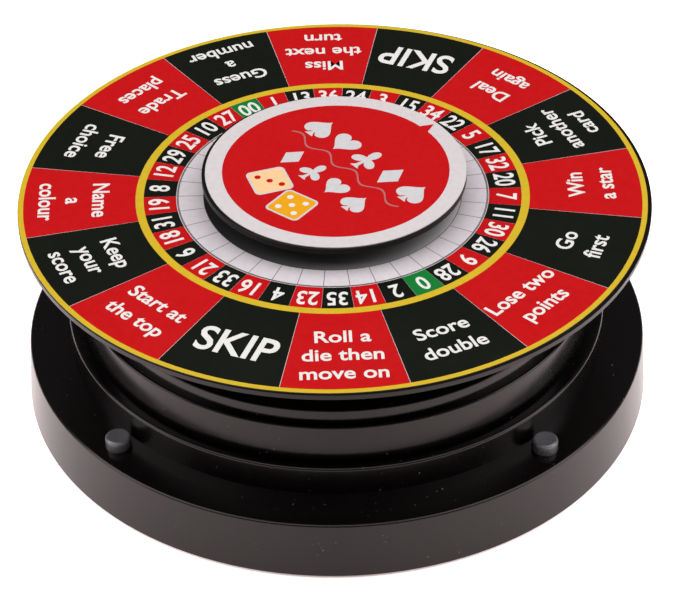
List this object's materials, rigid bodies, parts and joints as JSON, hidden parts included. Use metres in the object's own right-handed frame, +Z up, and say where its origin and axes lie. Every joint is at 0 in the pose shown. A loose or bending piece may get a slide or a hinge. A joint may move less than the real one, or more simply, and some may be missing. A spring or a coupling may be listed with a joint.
{
  "type": "roulette wheel",
  "caption": "Tabletop roulette turntable: round black base with push buttons, stepped drum, flat printed wheel and raised round pointer disc.",
  "frame": {"origin": "centre of the base on the surface that the feet stand on", "axes": "+Z up along the wheel's axis, -Y towards the picture's front"},
  "size_m": [0.2344, 0.2344, 0.093],
  "materials": {
    "case_black": "glossy moulded ABS",
    "drum_black": "glossy moulded ABS",
    "cover_black": "fine-textured ABS",
    "rubber": "matte",
    "cell_wrap": "printed sleeve",
    "plated_contact": "nickel plated",
    "spring_steel": "drawn wire",
    "switch_plastic": "moulded",
    "button_grey": "satin grey",
    "circuit_board": "solder mask",
    "component_black": "moulded",
    "motor_steel": "plated",
    "white_plastic": "acetal",
    "brass_part": "turned",
    "plate_aluminium": "rolled sheet",
    "hub_black": "moulded",
    "disc_black": "gloss black edge",
    "printed_sheet": "laminated print",
    "pointer_black": "satin gloss",
    "pointer_sheet": "laminated print",
    "lead_red": "PVC sleeve",
    "screw_steel": "zinc plated",
    "shaft_steel": "ground"
  },
  "bodies": {
    "base": {"base_shell": "case_black", "drum_cover": "drum_black", "bottom_cover": "cover_black", "rubber_feet": "rubber", "case_screws": "screw_steel", "drum_screws": "screw_steel", "battery_holder": "cover_black", "batteries": "cell_wrap", "battery_contacts": "plated_contact", "battery_springs": "spring_steel", "power_switch_body": "switch_plastic", "control_board": "circuit_board", "board_components": "component_black", "button_boards": "circuit_board", "button_switches": "switch_plastic", "button_spring_front_right": "spring_steel", "button_spring_rear_right": "spring_steel", "button_spring_rear_left": "spring_steel", "button_spring_front_left": "spring_steel", "motor_can": "motor_steel", "motor_end_cap": "white_plastic", "motor_screws": "screw_steel", "gear_plate": "plate_aluminium", "plate_screws": "screw_steel", "reduction_shaft": "shaft_steel", "shaft_clip": "motor_steel", "centre_post": "shaft_steel", "post_collar": "white_plastic", "thrust_washer": "white_plastic", "post_clip": "motor_steel", "wire_harness": "lead_red"},
    "wheel": {"drive_gear": "white_plastic", "wheel_hub": "hub_black", "lower_bush": "brass_part", "upper_bush": "brass_part", "hub_screws": "screw_steel", "wheel_disc": "disc_black", "wheel_label": "printed_sheet"},
    "reduction": {"reduction_gear": "white_plastic"},
    "rotor": {"motor_shaft": "shaft_steel", "motor_pinion": "brass_part"},
    "pointer": {"pointer_disc": "pointer_black", "pointer_label": "pointer_sheet"},
    "door": {"battery_door": "cover_black"},
    "power": {"power_slider": "button_grey"},
    "button_front_right": {"button_cap_front_right": "button_grey"},
    "button_rear_right": {"button_cap_rear_right": "button_grey"},
    "button_rear_left": {"button_cap_rear_left": "button_grey"},
    "button_front_left": {"button_cap_front_left": "button_grey"}
  },
  "joints": [
    {"name": "wheel_spin", "type": "hinge", "parent": "base", "child": "wheel", "pos_m": [0, 0, 0.06], "axis": [0, 0, 1], "continuous": true},
    {"name": "reduction_spin", "type": "hinge", "parent": "base", "child": "reduction", "pos_m": [0, 0.03605, 0.04], "axis": [0, 0, 1], "continuous": true},
    {"name": "motor_spin", "type": "hinge", "parent": "base", "child": "rotor", "pos_m": [0.02005, 0.03605, 0.03], "axis": [0, 0, 1], "continuous": true},
    {"name": "pointer_spin", "type": "hinge", "parent": "base", "child": "pointer", "pos_m": [0, 0, 0.085], "axis": [0, 0, 1], "continuous": true},
    {"name": "battery_door_slide", "type": "slide", "parent": "base", "child": "door", "axis": [0, -1, 0], "range_m": [0, 0.008]},
    {"name": "power_slide", "type": "slide", "parent": "base", "child": "power", "axis": [1, 0, 0], "range_m": [0, 0.004]},
    {"name": "button_front_right_press", "type": "slide", "parent": "base", "child": "button_front_right", "axis": [0, 0, -1], "range_m": [0, 0.0015], "stiffness_N_per_m": 250, "springref_m": -0.0008, "deforming": ["button_spring_front_right"]},
    {"name": "button_rear_right_press", "type": "slide", "parent": "base", "child": "button_rear_right", "axis": [0, 0, -1], "range_m": [0, 0.0015], "stiffness_N_per_m": 250, "springref_m": -0.0008, "deforming": ["button_spring_rear_right"]},
    {"name": "button_rear_left_press", "type": "slide", "parent": "base", "child": "button_rear_left", "axis": [0, 0, -1], "range_m": [0, 0.0015], "stiffness_N_per_m": 250, "springref_m": -0.0008, "deforming": ["button_spring_rear_left"]},
    {"name": "button_front_left_press", "type": "slide", "parent": "base", "child": "button_front_left", "axis": [0, 0, -1], "range_m": [0, 0.0015], "stiffness_N_per_m": 250, "springref_m": -0.0008, "deforming": ["button_spring_front_left"]}
  ],
  "couplings": [
    {"joint": "reduction_spin", "follows": "wheel_spin", "ratio": -5},
    {"joint": "motor_spin", "follows": "wheel_spin", "ratio": 20}
  ]
}
